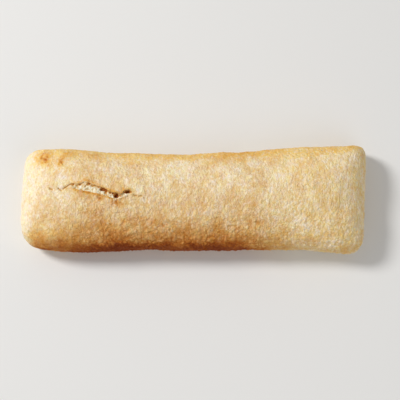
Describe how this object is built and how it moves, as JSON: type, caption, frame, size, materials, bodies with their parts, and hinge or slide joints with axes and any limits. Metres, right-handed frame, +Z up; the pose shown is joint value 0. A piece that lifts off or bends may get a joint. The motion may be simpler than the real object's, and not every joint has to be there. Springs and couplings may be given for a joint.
{
  "type": "ciabatta loaf",
  "caption": "Long, low, slipper-shaped bread loaf with a flat underside and a torn opening in its top crust.",
  "frame": {"origin": "centre of the loaf's length and width, on its flat underside", "axes": "+X along the loaf, away from the end that the tear is nearest to; +Y to its back; +Z up"},
  "size_m": [0.305, 0.097, 0.048],
  "materials": {
    "crust": "matt, dry, flour-dusted bread crust, golden on top and brown along its front foot, with pale crumb in the tear"
  },
  "bodies": {
    "root": {"ciabatta_loaf": "crust"}
  },
  "joints": []
}
